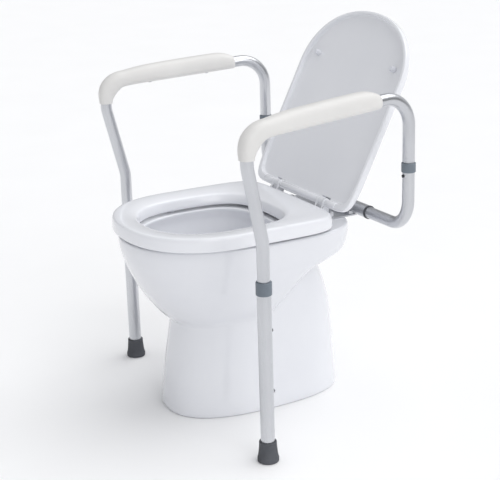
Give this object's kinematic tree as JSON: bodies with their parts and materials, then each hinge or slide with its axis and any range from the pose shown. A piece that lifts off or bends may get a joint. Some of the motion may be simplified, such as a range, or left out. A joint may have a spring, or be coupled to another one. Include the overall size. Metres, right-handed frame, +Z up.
{
  "type": "toilet support frame on a pan",
  "caption": "Toilet pan with seat, open lid and a clamped-on aluminium support frame: padded arm rails, telescopic front legs with rubber feet and a rear bracket under the hinges.",
  "frame": {"origin": "on the floor, under the middle of the overall box", "axes": "+Z up, -Y towards the front of the pan, +X towards the seated person's left hand"},
  "size_m": [0.7058, 0.6334, 0.8231],
  "materials": {
    "ceramic": "glazed vitreous china, high gloss, cool white",
    "seat_white": "glossy thermoset seat and lid, cool white",
    "arm_plastic": "satin moulded armrest, warm white",
    "anodised": "satin anodised tube with fine drawing lines",
    "collar_grey": "moulded collar, blue grey",
    "rubber_grey": "dark grey rubber",
    "buffer_white": "soft white buffer",
    "steel": "zinc plated steel",
    "hinge_white": "white moulded hinge post",
    "button_dark": "dark snap button"
  },
  "bodies": {
    "root": {"ceramic_pan": "ceramic", "hinge_posts": "hinge_white", "hinge_pins": "steel", "fixing_bolts": "steel", "fixing_washers": "rubber_grey", "wing_nuts": "steel", "bracket_plate": "steel", "bracket_tube": "anodised", "bracket_bushes": "rubber_grey"},
    "seat": {"seat_ring": "seat_white", "seat_buffers": "buffer_white"},
    "lid": {"lid_cover": "seat_white", "lid_buffers": "buffer_white"},
    "left_rear": {"left_rear_tube": "anodised", "left_rear_collar": "collar_grey"},
    "left_arm": {"left_arm_tube": "anodised", "left_spigot": "anodised", "left_armrest": "arm_plastic", "left_armrest_screws": "steel"},
    "left_leg": {"left_leg_tube": "anodised", "left_leg_collar": "collar_grey", "left_foot": "rubber_grey"},
    "left_rear_button": {"left_rear_button": "button_dark", "left_rear_button_spring": "steel"},
    "left_leg_button": {"left_leg_button": "button_dark", "left_leg_button_spring": "steel"},
    "left_bracket_button": {"left_bracket_button": "button_dark", "left_bracket_button_spring": "steel"},
    "right_rear": {"right_rear_tube": "anodised", "right_rear_collar": "collar_grey"},
    "right_arm": {"right_arm_tube": "anodised", "right_spigot": "anodised", "right_armrest": "arm_plastic", "right_armrest_screws": "steel"},
    "right_leg": {"right_leg_tube": "anodised", "right_leg_collar": "collar_grey", "right_foot": "rubber_grey"},
    "right_rear_button": {"right_rear_button": "button_dark", "right_rear_button_spring": "steel"},
    "right_leg_button": {"right_leg_button": "button_dark", "right_leg_button_spring": "steel"},
    "right_bracket_button": {"right_bracket_button": "button_dark", "right_bracket_button_spring": "steel"}
  },
  "joints": [
    {"name": "lid_hinge", "type": "hinge", "parent": "root", "child": "lid", "pos_m": [0, 0.11333, 0.443], "axis": [1, 0, 0], "range_deg": [0, 117]},
    {"name": "seat_hinge", "type": "hinge", "parent": "root", "child": "seat", "pos_m": [0, 0.11333, 0.443], "axis": [1, 0, 0], "range_deg": [-116, 0]},
    {"name": "left_width_slide", "type": "slide", "parent": "root", "child": "left_rear", "axis": [1, 0, 0], "range_m": [-0.03, 0.03]},
    {"name": "left_arm_height", "type": "slide", "parent": "left_rear", "child": "left_arm", "axis": [0, 0, 1], "range_m": [0, 0.025]},
    {"name": "left_leg_extension", "type": "slide", "parent": "left_arm", "child": "left_leg", "axis": [0, 0, 1], "range_m": [-0.025, 0]},
    {"name": "left_rear_button_press", "type": "slide", "parent": "left_rear", "child": "left_rear_button", "axis": [0, 1, 0], "range_m": [0, 0.0035], "stiffness_N_per_m": 900},
    {"name": "left_leg_button_press", "type": "slide", "parent": "left_leg", "child": "left_leg_button", "axis": [0, -1, 0], "range_m": [0, 0.0035], "stiffness_N_per_m": 900},
    {"name": "left_bracket_button_press", "type": "slide", "parent": "root", "child": "left_bracket_button", "axis": [0, -1, 0], "range_m": [0, 0.0035], "stiffness_N_per_m": 900},
    {"name": "right_width_slide", "type": "slide", "parent": "root", "child": "right_rear", "axis": [-1, 0, 0], "range_m": [-0.03, 0.03]},
    {"name": "right_arm_height", "type": "slide", "parent": "right_rear", "child": "right_arm", "axis": [0, 0, 1], "range_m": [0, 0.025]},
    {"name": "right_leg_extension", "type": "slide", "parent": "right_arm", "child": "right_leg", "axis": [0, 0, 1], "range_m": [-0.025, 0]},
    {"name": "right_rear_button_press", "type": "slide", "parent": "right_rear", "child": "right_rear_button", "axis": [0, 1, 0], "range_m": [0, 0.0035], "stiffness_N_per_m": 900},
    {"name": "right_leg_button_press", "type": "slide", "parent": "right_leg", "child": "right_leg_button", "axis": [0, -1, 0], "range_m": [0, 0.0035], "stiffness_N_per_m": 900},
    {"name": "right_bracket_button_press", "type": "slide", "parent": "root", "child": "right_bracket_button", "axis": [0, -1, 0], "range_m": [0, 0.0035], "stiffness_N_per_m": 900}
  ],
  "couplings": [
    {"joint": "left_leg_extension", "follows": "left_arm_height", "ratio": -1},
    {"joint": "right_leg_extension", "follows": "right_arm_height", "ratio": -1}
  ]
}
